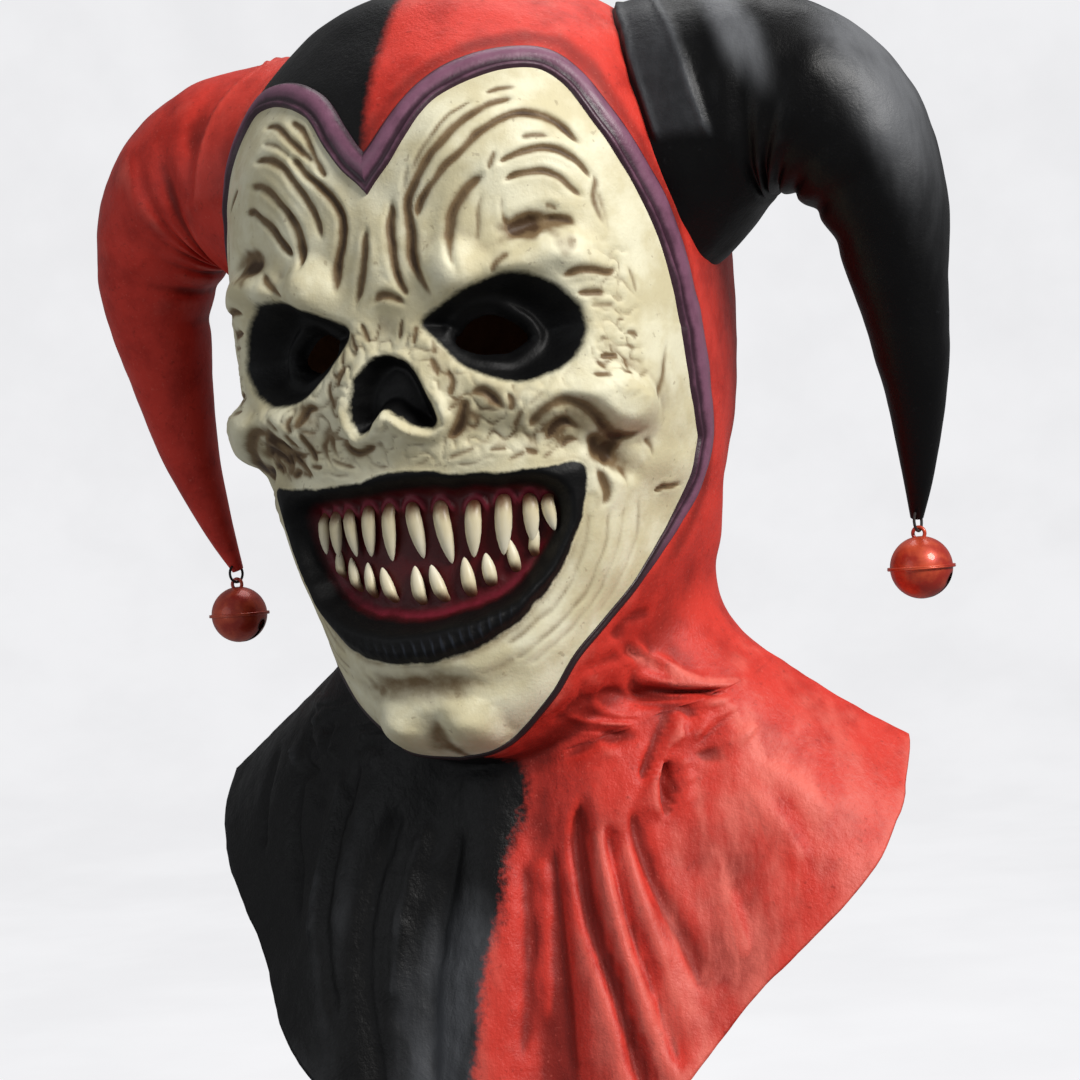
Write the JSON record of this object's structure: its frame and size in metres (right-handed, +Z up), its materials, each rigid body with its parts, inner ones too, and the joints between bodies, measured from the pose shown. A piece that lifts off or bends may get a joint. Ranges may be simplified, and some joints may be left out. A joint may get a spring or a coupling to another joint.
{
  "type": "jester mask",
  "caption": "Full-head latex jester mask with a grinning skull face, red and black hood, drooping horns that end in bells, and a draped shoulder collar; worn over the head.",
  "frame": {"origin": "inside of the crown on the wearer's middle line, where the mask sits on the head", "axes": "+Z up, the face looks towards -Y, +X is the wearer's left"},
  "size_m": [0.4132, 0.2395, 0.5134],
  "materials": {
    "face_latex": "painted latex, brown wash",
    "horn_black": "painted latex, satin",
    "horn_red": "painted latex, satin",
    "bell_metal": "metallic red",
    "thread": "twisted thread"
  },
  "bodies": {
    "mask": {"mask_shell": "face_latex", "horn_left": "horn_black", "horn_right": "horn_red", "bell_loop_left": "thread", "bell_loop_right": "thread"},
    "bell_left": {"bell_left": "bell_metal"},
    "bell_right": {"bell_right": "bell_metal"}
  },
  "joints": [
    {"name": "bell_left_swing", "type": "hinge", "parent": "mask", "child": "bell_left", "pos_m": [0.17303, 0.05705, -0.254], "axis": [0, 1, 0], "range_deg": [-45, 45]},
    {"name": "bell_right_swing", "type": "hinge", "parent": "mask", "child": "bell_right", "pos_m": [-0.17303, 0.05705, -0.254], "axis": [0, 1, 0], "range_deg": [-45, 45]}
  ]
}
